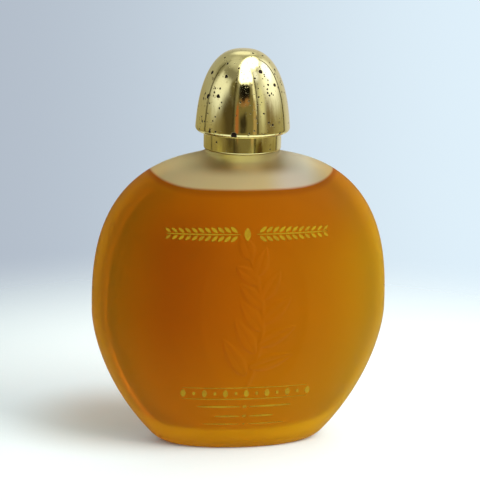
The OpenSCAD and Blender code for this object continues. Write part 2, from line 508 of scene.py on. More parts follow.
@dataclass(frozen=True)
class GlassFinish(Finish):
    """Pressed glass, etched or clear.

    The etched glass is amber below the lotion's level and pale above it. Its colour holds painted light and shade
    for one light from the +X side: lighter, yellower amber towards the edges, the +X side and the foot, painted
    shade on the -X half, a painted dark line just under the level, a painted highlight on the bare shoulder's +X
    side and painted shade round the foot of the neck.
    """

    bare: Colour = (0.97, 0.89, 0.50, 1)
    handled: Colour = (0.92, 0.81, 0.40, 1)
    steeped: Colour = (0.67, 0.215, 0.001, 1)
    deep: Colour = (0.61, 0.19, 0.001, 1)
    # Painted light: lighter, yellower amber towards both edges, the +X side and the foot.
    edge: Colour = (0.81, 0.45, 0.001, 1)
    # Painted shade: darker amber for the -X half and for the line just under the level.
    painted_shade_amber: Colour = (0.46, 0.10, 0.001, 1)
    # Painted shade round the foot of the neck.
    painted_neck_shade: Colour = (0.28, 0.20, 0.06, 1)
    # Painted highlight and painted shade on the bare shoulder's +X side.
    lit: Colour = (1.0, 1.0, 0.84, 1)
    shaded: Colour = (0.72, 0.60, 0.32, 1)
    sheen: Colour = (1, 0.5, 0.06, 1)
    veil: float = 0.25
    # Strength of the painted shade: the dark line under the level and the shade round the neck's foot.
    painted_shade_strength: float = 0.8
    level: float = 76.2
    creep: float = 3.5
    index: float = 1.33
    polish: float = 0.60
    spread: float = 0.05
    grain_depth: float = 0.012 * MM

    def surface(self, graph: Graph, effects: Effects) -> dict[str, object]:
        """Tints the glass by height and side over an etched grain, with painted light and shade in the tint.

        Args:
            graph: The material's graph.
            effects: The shared node groups.

        Returns:
            The shader's inputs by name.
        """
        here = graph.here()
        drift = graph.group(effects.drift, {"Vector": here, "Scale": 34.0})
        grain = graph.group(effects.grain, {"Vector": here, "Scale": 2600.0})
        rough = graph.ease(drift.outputs["Broken"], 0.0, 1.0, self.polish - self.spread, self.polish + self.spread)
        across, _, rise = graph.axes(here)
        aside = graph.size(across)
        climb = graph.product(graph.math("POWER", graph.product(aside, 1 / (25.6 * MM)), 5.0), self.creep * MM)
        above = graph.less(rise, climb)
        glow = graph.ease(above, (self.level + 0.5) * MM, (self.level - 0.4) * MM)

        steeped = graph.mix(drift.outputs["Soft"], self.steeped, self.deep)
        # Painted shade: darker amber on the -X half below the level, fading out again at the far -X edge.
        painted_shade_side = graph.product(graph.ease(across, 6 * MM, -20 * MM, 0.0, 0.5),
                            graph.ease(across, -40 * MM, -32 * MM), graph.ease(rise, 76 * MM, 60 * MM))
        steeped = graph.mix(painted_shade_side, steeped, self.painted_shade_amber)
        # Painted light: the amber turns lighter and yellower towards both edges, on the +X side and towards the foot.
        painted_lit_side = graph.product(graph.ease(across, -5 * MM, 40 * MM, 0.0, 0.5), graph.ease(rise, 78 * MM, 52 * MM))
        thin = graph.total(graph.ease(aside, 20 * MM, 42 * MM, 0.0, 0.5), painted_lit_side,
                           graph.ease(rise, 45 * MM, 4 * MM, 0.0, 0.38))
        steeped = graph.mix(graph.math("MINIMUM", thin, 1.0), steeped, self.edge)
        # Painted shade: a dark band from the level to about 2.4 mm under it.
        below = graph.less(self.level * MM, above)
        line = graph.product(graph.ease(below, -0.2 * MM, 0.4 * MM), graph.ease(below, 2.4 * MM, 0.6 * MM), self.painted_shade_strength)
        steeped = graph.mix(line, steeped, self.painted_shade_amber)

        bare = graph.mix(drift.outputs["Soft"], self.bare, self.handled)
        # Painted highlight on the bare shoulder from 4 to 26 mm towards +X, with painted shade beyond 16 mm.
        lit = graph.product(graph.ease(across, 4 * MM, 12 * MM), graph.ease(across, 26 * MM, 15 * MM))
        bare = graph.mix(lit, bare, self.lit)
        bare = graph.mix(graph.ease(across, 16 * MM, 24 * MM, 0.0, 0.6), bare, self.shaded)
        # Painted shade round the foot of the neck, darkest 7.4 mm to either side of it.
        foot = graph.product(graph.ease(graph.off_axis(here), 21 * MM, 10.8 * MM),
                             graph.ease(rise, 79 * MM, 82 * MM))
        wing = graph.ease(graph.size(graph.less(aside, 7.4 * MM)), 6 * MM, 1 * MM, 0.7, 1.1)
        bare = graph.mix(graph.product(foot, wing, self.painted_shade_strength), bare, self.painted_neck_shade)
        return {
            "Base Color": graph.mix(glow, bare, steeped),
            "Roughness": rough, "IOR": self.index, "Transmission Weight": 1 - self.veil,
            "Specular Tint": self.sheen,
            "Normal": graph.bump(grain.outputs["Height"], self.grain_depth)}


@dataclass(frozen=True)
class LotionFinish(Finish):
    """Clear amber liquid that deepens with its thickness."""

    colour: Colour = (0.52, 0.26, 0.004, 1)
    thick: Colour = (0.47, 0.22, 0.004, 1)
    absorbed: Colour = (0.9, 0.7, 0.3, 1)
    density: float = 8.0

    def surface(self, graph: Graph, effects: Effects) -> dict[str, object]:
        """Varies the colour softly at random.

        Args:
            graph: The material's graph.
            effects: The shared node groups.

        Returns:
            The shader's inputs by name.
        """
        drift = graph.group(effects.drift, {"Vector": graph.here(), "Scale": 14.0})
        return {
            "Base Color": graph.mix(drift.outputs["Soft"], self.colour, self.thick),
            "Roughness": 0.02, "IOR": 1.12, "Transmission Weight": 1.0}

    def fill(self, graph: Graph, output: Node) -> None:
        """Fills the piece with a liquid that takes light up."""
        volume = graph.node("VolumeAbsorption", {"Color": self.absorbed, "Density": self.density})
        graph.link(volume.outputs[0], output.inputs["Volume"])


@dataclass(frozen=True)
class GoldFinish(Finish):
    """Pale gold plating, pitted and thinly hazed with age."""

    plate: Colour = (0.89, 0.82, 0.40, 1)
    haze: Colour = (0.84, 0.74, 0.32, 1)
    pit: Colour = (0.018, 0.009, 0.005, 1)
    cover: float = 0.22
    marks: tuple[Spot, ...] = ()

    def mark_mask(self, graph: Graph, here: Socket) -> Value:
        """Largest pits, each at its own place.

        Args:
            graph: The graph being wired.
            here: Place on the piece.

        Returns:
            One inside a pit and zero outside.
        """
        at = graph.wobbled(here, 1400.0, 0.7 * MM)
        half = 0.35 * MM
        mask: Value = 0.0
        for angle, level, radius in self.marks:
            turned = math.radians(angle)
            reach = CapForm().radius_at(level) * MM
            spot = (reach * math.sin(turned) + half, half - reach * math.cos(turned), level * MM + half)
            gap = graph.distance(at, spot)
            mask = graph.math("MAXIMUM", mask, graph.ease(gap, radius * MM * 1.6, radius * MM * 1.3))
        return mask

    def surface(self, graph: Graph, effects: Effects) -> dict[str, object]:
        """Lays haze, fine scratches and pits over the plating.

        Args:
            graph: The material's graph.
            effects: The shared node groups.

        Returns:
            The shader's inputs by name.
        """
        here = graph.here()
        drift = graph.group(effects.drift, {"Vector": here, "Scale": 90.0})
        where = graph.group(effects.drift, {"Vector": here, "Scale": 130.0})
        cover = graph.math("MULTIPLY", where.outputs["Soft"], self.cover * 1.8)
        small = graph.group(effects.pits, {"Vector": here, "Scale": 900.0, "Cover": cover, "Size": 0.30})
        tiny = graph.group(effects.pits, {"Vector": here, "Scale": 1900.0, "Cover": cover, "Size": 0.30})
        mask = graph.math("MAXIMUM", small.outputs["Mask"], tiny.outputs["Mask"])
        if self.marks:
            mask = graph.math("MAXIMUM", mask, self.mark_mask(graph, here))
        plate = graph.mix(drift.outputs["Soft"], self.plate, self.haze)
        ringed = graph.mix(graph.product(small.outputs["Halo"], 0.5), plate, (0.42, 0.32, 0.12, 1))
        scratch = graph.node("TexNoise", {
            "Vector": graph.node("Mapping", {"Vector": here, "Scale": (1, 1, 0.12)}).outputs[0],
            "Scale": 2200.0, "Detail": 3.0}).outputs[0]
        rough = graph.total(0.055, graph.product(drift.outputs["Broken"], 0.10), graph.product(mask, 0.5))
        height = graph.total(graph.product(scratch, 0.04), graph.product(drift.outputs["Soft"], 0.35),
                             graph.product(mask, -1.0))
        return {
            "Base Color": graph.mix(mask, ringed, self.pit),
            "Metallic": graph.math("SUBTRACT", 1.0, graph.product(mask, 0.3), clamp=True),
            "Roughness": rough, "Normal": graph.bump(height, 0.03 * MM)}


@dataclass(frozen=True)
class PlasticFinish(Finish):
    """Moulded plastic with faint flow marks and stains spread at random."""

    colour: Colour = (0.86, 0.84, 0.76, 1)
    stain: Colour = (0.70, 0.62, 0.45, 1)
    polish: float = 0.38
    scatter: float = 0.25
    grain_depth: float = 0.02 * MM

    def surface(self, graph: Graph, effects: Effects) -> dict[str, object]:
        """Stains and grains the plastic.

        Args:
            graph: The material's graph.
            effects: The shared node groups.

        Returns:
            The shader's inputs by name.
        """
        here = graph.here()
        drift = graph.group(effects.drift, {"Vector": here, "Scale": 160.0})
        grain = graph.group(effects.grain, {"Vector": here, "Scale": 3000.0})
        stain = graph.product(drift.outputs["Broken"], 0.35)
        rough = graph.ease(drift.outputs["Soft"], 0.0, 1.0, self.polish, self.polish + 0.12)
        return {
            "Base Color": graph.mix(stain, self.colour, self.stain), "Roughness": rough,
            "Subsurface Weight": self.scatter, "Subsurface Radius": (0.0016, 0.0012, 0.0008),
            "Subsurface Scale": 1.0, "Normal": graph.bump(grain.outputs["Height"], self.grain_depth)}


@dataclass(frozen=True)
class FoamFinish(Finish):
    """Closed-cell foam with its fine open pores."""

    colour: Colour = (0.90, 0.88, 0.82, 1)

    def surface(self, graph: Graph, effects: Effects) -> dict[str, object]:
        """Yellows the foam and opens its pores.

        Args:
            graph: The material's graph.
            effects: The shared node groups.

        Returns:
            The shader's inputs by name.
        """
        here = graph.here()
        pores = graph.group(effects.pits, {"Vector": here, "Scale": 2600.0, "Cover": 0.8, "Size": 0.34})
        drift = graph.group(effects.drift, {"Vector": here, "Scale": 120.0})
        colour = graph.mix(drift.outputs["Broken"], self.colour, (0.80, 0.74, 0.60, 1))
        return {
            "Base Color": graph.mix(graph.product(pores.outputs["Mask"], 0.5), colour, (0.55, 0.52, 0.44, 1)),
            "Roughness": graph.ease(drift.outputs["Soft"], 0.0, 1.0, 0.7, 0.85),
            "Normal": graph.bump(graph.product(pores.outputs["Halo"], -1.0), 0.05 * MM)}


@dataclass(frozen=True)
class PrintFinish(Finish):
    """Thin gold-coloured screen print, slightly worn."""

    ink: Colour = (0.37, 0.225, 0.003, 1)
    worn: Colour = (0.31, 0.16, 0.002, 1)

    def surface(self, graph: Graph, effects: Effects) -> dict[str, object]:
        """Wears the ink thin.

        Args:
            graph: The material's graph.
            effects: The shared node groups.

        Returns:
            The shader's inputs by name.
        """
        here = graph.here()
        drift = graph.group(effects.drift, {"Vector": here, "Scale": 260.0})
        grain = graph.group(effects.grain, {"Vector": here, "Scale": 4200.0})
        return {
            "Base Color": graph.mix(drift.outputs["Broken"], self.ink, self.worn),
            "Specular IOR Level": 0.15,
            "Roughness": graph.ease(drift.outputs["Soft"], 0.0, 1.0, 0.48, 0.62),
            "Normal": graph.bump(grain.outputs["Height"], 0.01 * MM)}


# ---------------------------------------------------------------- forms


@dataclass(frozen=True)
class FlaskForm:
    """Sizes of the glass flask, in millimetres."""

    width: float = 84
    thickness: float = 35
    belly_z: float = 39.4
    crown_z: float = 84.9
    upper_square: float = 2.63
    lower_square: float = 1.67
    foot_overrun: float = 11.7
    foot_round_h: float = 2.6
    foot_round_w: float = 2.6
    wall: float = 2.9
    crown_wall: float = 3.7
    base_wall: float = 6
    floor_round_h: float = 5
    floor_round_w: float = 8
    bore_r: float = 5
    root_r: float = 10.41
    neck_r: float = 8.9
    seat_rise: float = 0.5
    neck_h: float = 15
    bead_edge: float = 0.4
    bead_rise: float = 2.7
    bead_h: float = 1
    neck_blend: float = 8
    shoulder_a: float = 33.75
    crown_a: float = 89.7
    fill_z: float = 74

    def upper(self, angle: float, width: float, top: float) -> Point:
        """Point of an outline above the belly.

        Args:
            angle: 0 at the belly and 90 at the crown, in degrees.
            width: Half-width at the belly.
            top: Height where the outline closes.

        Returns:
            Half-width and height.
        """
        a = math.radians(angle)
        power = 2 / self.upper_square
        return width * max(math.cos(a), 0) ** power, self.belly_z + (top - self.belly_z) * math.sin(a) ** power

    def lower(self, z: float, width: float, overrun: float) -> float:
        """Half-width of an outline below the belly, where it would close at height -overrun."""
        fall = (self.belly_z - z) / (self.belly_z + overrun)
        return width * (1 - fall ** self.lower_square) ** (1 / self.lower_square)

    def half(self, z: float) -> float:
        """Half-width of the outer outline at a height, as a share of the widest.

        Args:
            z: Height above the foot.

        Returns:
            The share, from 0 to 1.
        """
        if z <= self.belly_z:
            return self.lower(z, 1, self.foot_overrun)
        rise = min((z - self.belly_z) / (self.crown_z - self.belly_z), 1)
        return (1 - rise ** self.upper_square) ** (1 / self.upper_square)

    def floor_points(self, width: float, floor: float, overrun: float, height: float, draw: float,
                     rings: int) -> list[Point]:
        """Points from the edge of a floor up to the belly.

        Args:
            width: Half-width at the belly.
            floor: Height of the floor.
            overrun: How far below the foot the outline would close.
            height: Height of the rounding at the floor.
            draw: How far the rounding draws the outline in.
            rings: Number of rings between the rounding and the belly.

        Returns:
            Half-width and height of each point.
        """
        points = []
        for n in range(13):
            a = math.radians(90 * n / 12)
            z = floor + height * (1 - math.cos(a))
            points.append((self.lower(z, width, overrun) - draw * (1 - math.sin(a)), z))
        start = floor + height
        points += [(self.lower(z, width, overrun), z) for z in
                   (start + (self.belly_z - start) * n / rings for n in range(1, rings + 1))]
        return points

    def crown_points(self, width: float, top: float, rings: int) -> list[Point]:
        """Points from above the belly up to just short of the crown."""
        return [self.upper(self.crown_a * n / rings, width, top) for n in range(1, rings + 1)]


@dataclass(frozen=True)
class CapForm:
    """Sizes of the domed cap shell, in millimetres."""

    radius: float = 13.16
    height: float = 22.9
    rim_z: float = 90.25
    rim_r: float = 1.3
    draft: float = 0.079
    square: float = 2.56
    wall: float = 0.8
    hem_h: float = 2.2

    def dome(self, rise: float, radius: float, top: float) -> float:
        """Radius of the dome.

        Args:
            rise: Height above the rounded rim.
            radius: Radius at the rim.
            top: Rise where the dome closes.

        Returns:
            The radius there.
        """
        return (radius - self.draft * rise) * max(1 - (rise / top) ** self.square, 0) ** (1 / self.square)

    def radius_at(self, level: float) -> float:
        """Outer radius of the cap at a height above the foot."""
        rise = max(level - self.rim_z - self.rim_r, 0)
        return self.dome(rise, self.radius, self.height - self.rim_r)


# ---------------------------------------------------------------- sub-assemblies


@dataclass
class Relief:
    """Low relief of a leafy sprig, sunk into the front of the flask, in millimetres."""

    centre_x: float = 2.0
    foot_z: float = 24.0
    tip_z: float = 60.0
    bow: float = 4.5
    leaf_pairs: int = 5
    leaf_length: float = 13.0
    leaf_width: float = 5.2
    depth: float = 0.28
    field_w: float = 15.5
    field_h: float = 24.5

    def stem(self, share: float) -> Spot:
        """Place and lean of the stem.

        Args:
            share: 0 at its foot and 1 at its tip.

        Returns:
            Across, up and lean in radians.
        """
        x = self.centre_x + self.bow * math.sin(math.pi * share) - self.bow * 0.5
        z = self.foot_z + (self.tip_z - self.foot_z) * share
        lean = math.atan2(self.bow * math.pi * math.cos(math.pi * share), self.tip_z - self.foot_z)
        return x, z, lean

    def leaves(self) -> list[tuple[float, float, float, float]]:
        """Root and tip of each leaf.

        Returns:
            X and Z of the root, then X and Z of the tip, for each leaf.
        """
        found = []
        for n in range(self.leaf_pairs):
            for side in (-1, 1):
                x, z, lean = self.stem((n + (0.35 if side > 0 else 0.0)) / (self.leaf_pairs + 0.4))
                length = self.leaf_length * (1 - 0.09 * n)
                turn = lean + side * math.radians(52 - 4 * n)
                found.append((x, z, x + length * math.sin(turn), z + length * math.cos(turn)))
        x, z, lean = self.stem(0.93)
        found.append((x, z, x + 8 * math.sin(lean), z + 8 * math.cos(lean)))
        return found

    def height(self, x: float, z: float, leaves: Sequence[tuple[float, float, float, float]]) -> float:
        """Height of the relief over a point of the front.

        Args:
            x: Place across.
            z: Height above the foot.
            leaves: Root and tip of each leaf.

        Returns:
            How far the surface stands out there: zero or less, since the whole relief is sunk.
        """
        best = 0.0
        for x0, z0, x1, z1 in leaves:
            length = math.hypot(x1 - x0, z1 - z0)
            ux, uz = (x1 - x0) / length, (z1 - z0) / length
            along = ((x - x0) * ux + (z - z0) * uz) / length
            if not -0.05 < along < 1.05:
                continue
            share = min(max(along, 0.0), 1.0)
            across = abs((x - x0) * uz - (z - z0) * ux)
            half = self.leaf_width * 0.5 * math.sin(math.pi * share ** 0.75) ** 0.8
            if across < half:
                inside = 1 - across / half
                dome = min(inside / 0.45, 1.0)
                dome = dome * dome * (3 - 2 * dome)
                rib = 1 - 0.45 * math.exp(-(across / 0.35) ** 2)
                best = max(best, dome * rib)
        share = min(max((z - self.foot_z + 5) / (self.tip_z - self.foot_z + 5), 0), 1)
        x_stem = self.stem(share)[0]
        if self.foot_z - 5 < z < self.tip_z:
            best = max(best, 0.9 * math.exp(-((x - x_stem) / (0.75 - 0.3 * share)) ** 2))
        middle = (self.foot_z + self.tip_z) / 2
        field_edge = math.hypot((x - self.centre_x) / self.field_w, (z - middle) / self.field_h)
        sunk = min(max((1 - field_edge) / 0.22, 0), 1)
        sunk = sunk * sunk * (3 - 2 * sunk)
        return (best - 1.08) * self.depth * sunk


@dataclass
class GlassFlask:
    """Glass flask with its relief, its screw neck and the lotion in it."""

    form: FlaskForm
    relief: Relief
    segments: int = 256
    lotion_segments: int = 160
    lap: float = 0.05
    relief_cuts: int = 3

    def squeeze(self, piece: Piece) -> None:
        """Presses a turned piece from a circle to the flask's oval.

        Args:
            piece: The piece, turned round the Z axis.
        """
        share = self.form.thickness / self.form.width
        bpy.ops.mesh.select_all(action="SELECT")
        bpy.ops.transform.resize(value=(1, share, 1), center_override=(0, 0, 0))
        bmesh.update_edit_mesh(piece.data)

    def sweep_to_round(self, piece: Piece, top: float, width: float, radius: float) -> None:
        """Draws the top of an oval piece out until it ends in a round ring.

        Args:
            piece: The piece in edit mode.
            top: Height where its outline would close.
            width: Half-width of its outline at the belly.
            radius: Radius of the round ring.
        """
        form = self.form
        power = form.neck_blend
        start_half, start_z = form.upper(form.shoulder_a, 1, top)
        mesh = bmesh.from_edit_mesh(piece.data)
        for vert in mesh.verts:
            z = vert.co.z / MM
            if z <= start_z:
                continue
            rise = min((z - form.belly_z) / (top - form.belly_z), 1)
            share = max(1 - rise ** form.upper_square, 0) ** (1 / form.upper_square) / start_half
            flat = math.hypot(vert.co.x, vert.co.y) / MM
            reach = (flat ** power + max(1 - share ** power, 0) * radius ** power) ** (1 / power)
            vert.co.x *= reach / flat
            vert.co.y *= reach / flat
        bmesh.update_edit_mesh(piece.data)

    def round_off(self, piece: Piece, level: float, start: Point, rings: Sequence[Point]) -> None:
        """Makes the open top ring of a piece exactly round and level, then extrudes it on.

        Args:
            piece: The piece in edit mode.
            level: Height of its open ring.
            start: Radius and height that the ring gets.
            rings: Radius and height of each further ring.
        """
        mesh = bmesh.from_edit_mesh(piece.data)
        bpy.ops.mesh.select_mode(type="VERT")
        bpy.ops.mesh.select_all(action="DESELECT")
        for vert in mesh.verts:
            if vert.is_boundary and vert.co.z > (level - 0.5) * MM:
                vert.select = True
                flat = math.hypot(vert.co.x, vert.co.y)
                vert.co = (vert.co.x / flat * start[0] * MM, vert.co.y / flat * start[0] * MM, start[1] * MM)
        mesh.select_flush_mode()
        bpy.ops.mesh.select_mode(type="EDGE")
        mesh = bmesh.from_edit_mesh(piece.data)
        for edge in mesh.edges:
            edge.select = edge.is_boundary and edge.verts[0].co.z > (level - 0.5) * MM
        bmesh.update_edit_mesh(piece.data)
        Bench.raise_ring(piece, rings, start)

    def outer_skin(self) -> Piece:
        """Outside of the flask from the middle of its foot to the lip.

        Returns:
            The skin, open at the lip.
        """
        form = self.form
        half = form.width / 2
        edge = form.floor_points(half, 0, form.foot_overrun, form.foot_round_h, form.foot_round_w, 40)
        inner = edge[0][0]
        foot = [(0, 0.55), (inner * 0.35, 0.52), (inner * 0.62, 0.36), (inner * 0.78, 0.12), (inner * 0.88, 0.0)]
        piece = Bench.turn("flask_glass", foot + edge + form.crown_points(half, form.crown_z, 76), self.segments)
        self.squeeze(piece)
        self.sweep_to_round(piece, form.crown_z, half, form.root_r)
        seat = form.crown_z + form.seat_rise
        bead = seat + form.bead_rise
        lip = form.crown_z + form.neck_h
        rings = [(form.root_r, seat - 0.15), (form.root_r - 0.15, seat), (form.neck_r + 0.25, seat),
                 (form.neck_r, seat + 0.25), (form.neck_r, bead - 0.1), (form.neck_r + form.bead_edge - 0.1, bead),
                 (form.neck_r + form.bead_edge, bead + 0.12), (form.neck_r + form.bead_edge, bead + 0.5),
                 (form.neck_r + 0.1, bead + form.bead_h), (form.neck_r - 1.0, bead + form.bead_h + 0.5),
                 (form.neck_r - 1.0, lip - 1.1)]
        rings += arc((form.neck_r - 1.9, lip - 0.9), 0.9, 0, 90, 6)
        self.round_off(piece, form.crown_z, (form.root_r, form.crown_z), rings)
        return piece

    def sink_relief(self, piece: Piece) -> None:
        """Cuts the front finer and sinks a soft field into it, out of which the sprig stands.

        Args:
            piece: The outer skin in edit mode.
        """
        form, sprig = self.form, self.relief
        low, high = sprig.foot_z - 7, sprig.tip_z + 9
        left, right = sprig.centre_x - 17, sprig.centre_x + 17
        Bench.select_faces(piece, lambda at: at.y < 0 and low * MM < at.z < high * MM
                           and left * MM < at.x < right * MM)
        bpy.ops.mesh.subdivide(number_cuts=self.relief_cuts)
        leaves = sprig.leaves()
        mesh = bmesh.from_edit_mesh(piece.data)
        depth = form.thickness / 2
        for vert in mesh.verts:
            x, z = vert.co.x / MM, vert.co.z / MM
            if vert.co.y > 0 or not (low - 2 < z < high + 2 and left - 2 < x < right + 2):
                continue
            half = form.half(z)
            across = min(abs(x) / (form.width / 2 * half), 1)
            y = -depth * half * math.sqrt(1 - across * across)
            _, start_z = form.upper(form.shoulder_a, 1, form.crown_z)
            if z < start_z:
                vert.co.y = y * MM
            vert.co.y -= sprig.height(x, z, leaves) * MM
        bmesh.update_edit_mesh(piece.data)

    def inner_wall(self, widen: float, floor_rings: int, crown_rings: int) -> list[Point]:
        """Profile of the flask's inside.

        Args:
            widen: How far it is moved out into the glass.
            floor_rings: Number of rings from the floor's rounding to the belly.
            crown_rings: Number of rings from the belly to the crown.

        Returns:
            Half-width and height of each point, from the middle of the floor to just short of the crown.
        """
        form = self.form
        half, floor = form.width / 2 - form.wall + widen, form.base_wall - widen
        edge = form.floor_points(half, floor, form.foot_overrun - form.wall + widen, form.floor_round_h,
                                 form.floor_round_w, floor_rings)
        middle = [(edge[0][0] * share, floor) for share in (0, 0.5, 0.9)]
        return middle + edge + form.crown_points(half, form.crown_z - form.crown_wall + widen, crown_rings)

    def build_glass(self, etched: Material, inner: Material,
                    clear: Material) -> Piece:
        """Builds the flask.

        Args:
            etched: Finish of the outside.
            inner: Finish of the inside.
            clear: Finish of the neck.

        Returns:
            The flask as one closed piece.
        """
        form = self.form
        outside = self.outer_skin()
        self.sink_relief(outside)
        Bench.clear()
        inside = Bench.turn("flask_inside", self.inner_wall(0, 34, 60), self.segments)
        self.squeeze(inside)
        top = form.crown_z - form.crown_wall
        self.sweep_to_round(inside, top, form.width / 2 - form.wall, form.bore_r)
        lip = form.crown_z + form.neck_h
        self.round_off(inside, top, (form.bore_r, top),
                       [(form.bore_r, top + 4), (form.bore_r, lip - 4), (form.bore_r, lip - 0.4),
                        (form.bore_r + 0.4, lip)])
        Bench.clear()
        outside.data.materials.append(etched)
        inside.data.materials.append(inner)
        flask = Bench.join([outside, inside])
        flask.data.materials.append(clear)
        bpy.ops.object.mode_set(mode="EDIT")
        bpy.ops.mesh.select_mode(type="EDGE")
        bpy.ops.mesh.select_all(action="DESELECT")
        mesh = bmesh.from_edit_mesh(flask.data)
        for edge in mesh.edges:
            edge.select = edge.is_boundary
        bmesh.update_edit_mesh(flask.data)
        bpy.ops.mesh.bridge_edge_loops()
        bpy.ops.mesh.select_all(action="SELECT")
        bpy.ops.mesh.normals_make_consistent(inside=False)
        mesh = bmesh.from_edit_mesh(flask.data)
        seat = (form.crown_z + form.seat_rise) * MM
        for face in mesh.faces:
            if face.calc_center_median().z > seat:
                face.material_index = 2
        bmesh.update_edit_mesh(flask.data)
        Bench.clear()
        Bench.smooth(flask, 35)
        return flask

    def build_thread(self, clear: Material) -> Piece:
        """Builds the screw thread round the neck: one ridge, a turn and a half long.

        Args:
            clear: Finish of the bare glass.

        Returns:
            The finished piece.
        """
        form = self.form
        lip = form.crown_z + form.neck_h
        ridge = ThreadRidge(root_r=form.neck_r - 1.1, crest_r=form.neck_r, foot_z=lip - 7.2, turns=1.5)
        thread = ridge.build("neck_thread")
        thread.data.materials.append(clear)
        return thread

    def build_lotion(self, finish: Material) -> Piece:
        """Builds the lotion, with its level drawn up where it wets the glass.

        Args:
            finish: The amber finish.

        Returns:
            The lotion as one closed piece.
        """
        form = self.form
        wall = [point for point in self.inner_wall(self.lap, 40, 90) if point[1] < form.fill_z + 0.7]
        reach, creep = wall[-1][0], wall[-1][1] - form.fill_z
        surface = [(reach - 2.6 * (n / 6), form.fill_z + creep * (1 - n / 6) ** 2.4) for n in range(1, 7)]
        surface += [((reach - 2.6) * share, form.fill_z) for share in (0.8, 0.55, 0.3, 0)]
        lotion = Bench.turn("lotion_fill", wall + surface, self.lotion_segments)
        self.squeeze(lotion)
        Bench.clear()
        lotion.data.materials.append(finish)
        Bench.smooth(lotion, 50)
        return lotion


@dataclass(frozen=True)
class ThreadRidge:
    """One helical thread ridge, in millimetres."""

    root_r: float
    crest_r: float
    foot_z: float
    turns: float
    lead: float = 3.175
    base: float = 2.0
    steps: int = 72
    fade: int = 9

    def build(self, name: str) -> Piece:
        """Sweeps the ridge's section up its helix and tapers both ends away.

        Args:
            name: Name of the new piece.

        Returns:
            The ridge as one closed piece.
        """
        Bench.clear()
        bpy.ops.mesh.primitive_circle_add(vertices=8, radius=MM, fill_type="NGON")
        piece = bpy.context.object
        piece.name = piece.data.name = name
        bpy.ops.object.mode_set(mode="EDIT")
        mesh = bmesh.from_edit_mesh(piece.data)
        middle = (self.root_r + self.crest_r) / 2
        depth = (self.crest_r - self.root_r) / 2
        section = [(-1, -0.5), (0.1, -0.42), (0.75, -0.26), (1, -0.17), (1, 0.17), (0.75, 0.26), (0.1, 0.42), (-1, 0.5)]
        mesh.verts.ensure_lookup_table()
        for vert, (out, up) in zip(mesh.verts, section):
            vert.co = ((middle + out * depth) * MM, 0, (self.foot_z + up * self.base) * MM)
        bmesh.update_edit_mesh(piece.data)
        bpy.ops.mesh.select_all(action="SELECT")
        count = int(self.steps * self.turns)
        angle = FULL_TURN / self.steps
        for _ in range(count):
            bpy.ops.mesh.extrude_region_move(
                TRANSFORM_OT_translate={"value": (0, 0, self.lead / self.steps * MM)})
            mesh = bmesh.from_edit_mesh(piece.data)
            cos, sin = math.cos(angle), math.sin(angle)
            for vert in (v for v in mesh.verts if v.select):
                vert.co.x, vert.co.y = vert.co.x * cos - vert.co.y * sin, vert.co.x * sin + vert.co.y * cos
            bmesh.update_edit_mesh(piece.data)
        self.taper(piece, count, angle)
        bpy.ops.mesh.select_all(action="SELECT")
        bpy.ops.mesh.normals_make_consistent(inside=False)
        Bench.clear()
        Bench.smooth(piece, 50)
        return piece

    def taper(self, piece: Piece, count: int, angle: float) -> None:
        """Sinks the first and last part of the ridge into its wall.

        Args:
            piece: The ridge in edit mode.
            count: Number of steps along it.
            angle: Turn of each step.
        """
        mesh = bmesh.from_edit_mesh(piece.data)
        for vert in mesh.verts:
            flat = math.hypot(vert.co.x, vert.co.y)
            turned = math.atan2(vert.co.y, vert.co.x) % FULL_TURN
            rise = (vert.co.z / MM - self.foot_z) / self.lead * FULL_TURN
            wind = round((rise - turned) / FULL_TURN)
            step = (turned + wind * FULL_TURN) / angle
            near = min(step, count - step)
            if near < self.fade:
                keep = max(near, 0) / self.fade
                keep = keep * keep * (3 - 2 * keep)
                radius = self.root_r + (flat / MM - self.root_r) * (0.12 + 0.88 * keep)
                vert.co.x *= radius * MM / flat
                vert.co.y *= radius * MM / flat
        bmesh.update_edit_mesh(piece.data)


